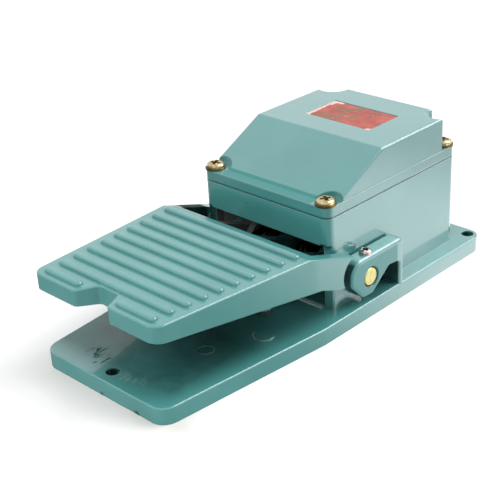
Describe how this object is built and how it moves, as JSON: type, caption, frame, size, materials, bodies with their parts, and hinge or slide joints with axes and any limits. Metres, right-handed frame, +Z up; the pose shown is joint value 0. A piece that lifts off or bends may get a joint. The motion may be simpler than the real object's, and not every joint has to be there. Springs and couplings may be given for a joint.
{
  "type": "foot pedal switch",
  "caption": "Industrial foot switch in teal cast metal: a ribbed sprung treadle on a cross shaft in front of a covered switch housing on a base plate with fixing holes.",
  "frame": {"origin": "middle of the base's underside", "axes": "+Z up, -Y towards the treadle's front edge and the user, +X to the user's right"},
  "size_m": [0.1066, 0.24, 0.0848],
  "materials": {
    "enamel_housing": "teal enamel on cast aluminium, glossy with orange peel",
    "enamel_cover": "teal enamel on cast aluminium, glossy with orange peel",
    "enamel_treadle": "teal enamel on cast aluminium, glossy, worn at the ribs",
    "gasket_rubber": "matt black",
    "brass_plated": "yellow zinc plating, worn",
    "label_red": "faded red lacquer on thin plate",
    "shaft_brass": "turned end, bright",
    "zinc_plated": "bright zinc plating",
    "washer_nylon": "natural nylon",
    "bush_bronze": "sintered bronze",
    "spring_steel": "drawn wire",
    "stop_rubber": "matt black",
    "brass": "turned brass",
    "seal_rubber": "matt black",
    "plunger_steel": "ground pin",
    "carrier_plastic": "cream moulding",
    "contact_silver": "silver contact strip",
    "block_plastic": "black phenolic moulding",
    "lid_plastic": "cream moulding",
    "gland_nylon": "black nylon"
  },
  "bodies": {
    "base": {"base_housing": "enamel_housing", "top_cover": "enamel_cover", "cover_gasket": "gasket_rubber", "cover_screws": "brass_plated", "cover_washers": "brass_plated", "label_plate": "label_red", "pivot_shaft": "shaft_brass", "shaft_screws": "zinc_plated", "thrust_washers": "washer_nylon", "return_spring_right": "spring_steel", "return_spring_left": "spring_steel", "rest_stops": "stop_rubber", "plunger_guide": "brass", "plunger_seal": "seal_rubber", "carrier_spring": "spring_steel", "contact_block": "block_plastic", "block_lid": "lid_plastic", "contact_terminals": "brass", "terminal_screws": "zinc_plated", "block_screws": "zinc_plated", "earth_screw": "brass_plated", "earth_washer": "brass", "gland_body": "gland_nylon", "gland_seal": "seal_rubber", "gland_nut": "gland_nylon", "gland_locknut": "gland_nylon"},
    "pedal": {"pedal": "enamel_treadle", "hub_bushes": "bush_bronze", "down_stops": "stop_rubber"},
    "plunger": {"plunger": "plunger_steel", "contact_carrier": "carrier_plastic", "contact_bridges": "contact_silver"}
  },
  "joints": [
    {"name": "pedal_press", "type": "hinge", "parent": "base", "child": "pedal", "pos_m": [0, 0.0182, 0.0232], "axis": [1, 0, 0], "range_deg": [0, 11], "stiffness_Nm_per_rad": 8, "springref_deg": -6.88, "deforming": ["return_spring_right", "return_spring_left"]},
    {"name": "plunger_lift", "type": "slide", "parent": "base", "child": "plunger", "axis": [0, 0, 1], "range_m": [0, 0.0032], "stiffness_N_per_m": 200, "springref_m": -0.003, "deforming": ["carrier_spring"]}
  ],
  "couplings": [
    {"joint": "plunger_lift", "follows": "pedal_press", "m_per_rad": 0.01615}
  ]
}
